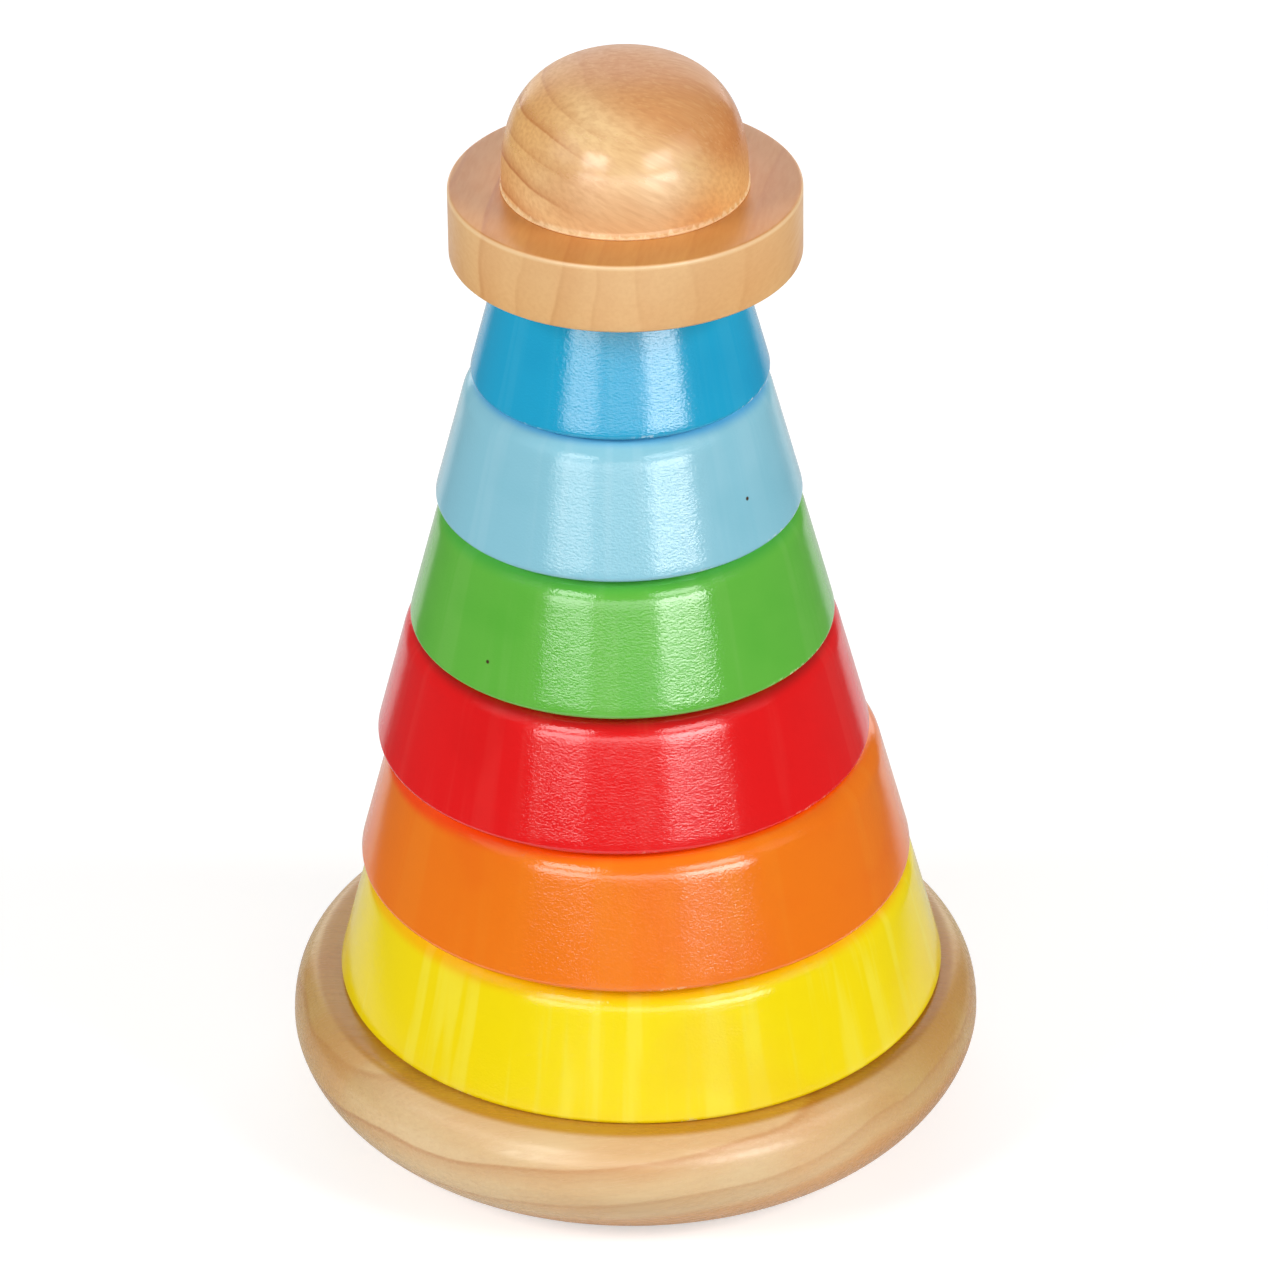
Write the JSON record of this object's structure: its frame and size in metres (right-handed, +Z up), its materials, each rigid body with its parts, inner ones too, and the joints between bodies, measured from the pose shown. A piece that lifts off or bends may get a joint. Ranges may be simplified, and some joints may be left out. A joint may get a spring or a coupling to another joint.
{
  "type": "stacking tower",
  "caption": "Wooden stacking toy: cone-shaped painted rings and a natural wood hat that lift off a centre peg on a round-edged base.",
  "frame": {"origin": "middle of the base's flat underside, on the peg's axis", "axes": "+Z up along the peg, +X to the right and -Y towards the viewer of the picture"},
  "size_m": [0.1128, 0.1128, 0.1859],
  "materials": {
    "base_wood": "clear lacquer on pale pine-like wood",
    "peg_wood": "clear lacquer on a plain dowel",
    "yellow_paint": "gloss paint on wood",
    "orange_paint": "gloss paint on wood",
    "red_paint": "gloss paint on wood",
    "green_paint": "gloss paint on wood",
    "light_blue_paint": "gloss paint on wood",
    "blue_paint": "gloss paint on wood",
    "brim_wood": "clear lacquer on reddish wood",
    "crown_wood": "clear lacquer on reddish wood"
  },
  "bodies": {
    "base": {"base_disc": "base_wood", "centre_peg": "peg_wood"},
    "yellow": {"yellow_ring": "yellow_paint"},
    "orange": {"orange_ring": "orange_paint"},
    "red": {"red_ring": "red_paint"},
    "green": {"green_ring": "green_paint"},
    "light_blue": {"light_blue_ring": "light_blue_paint"},
    "blue": {"blue_ring": "blue_paint"},
    "hat": {"hat_brim": "brim_wood", "hat_crown": "crown_wood"}
  },
  "joints": [
    {"name": "yellow_lift", "type": "slide", "parent": "base", "child": "yellow", "axis": [0, 0, 1], "range_m": [0, 0.154]},
    {"name": "orange_lift", "type": "slide", "parent": "yellow", "child": "orange", "axis": [0, 0, 1], "range_m": [0, 0.132]},
    {"name": "red_lift", "type": "slide", "parent": "orange", "child": "red", "axis": [0, 0, 1], "range_m": [0, 0.11]},
    {"name": "green_lift", "type": "slide", "parent": "red", "child": "green", "axis": [0, 0, 1], "range_m": [0, 0.088]},
    {"name": "light_blue_lift", "type": "slide", "parent": "green", "child": "light_blue", "axis": [0, 0, 1], "range_m": [0, 0.066]},
    {"name": "blue_lift", "type": "slide", "parent": "light_blue", "child": "blue", "axis": [0, 0, 1], "range_m": [0, 0.044]},
    {"name": "hat_lift", "type": "slide", "parent": "blue", "child": "hat", "axis": [0, 0, 1], "range_m": [0, 0.022]}
  ]
}
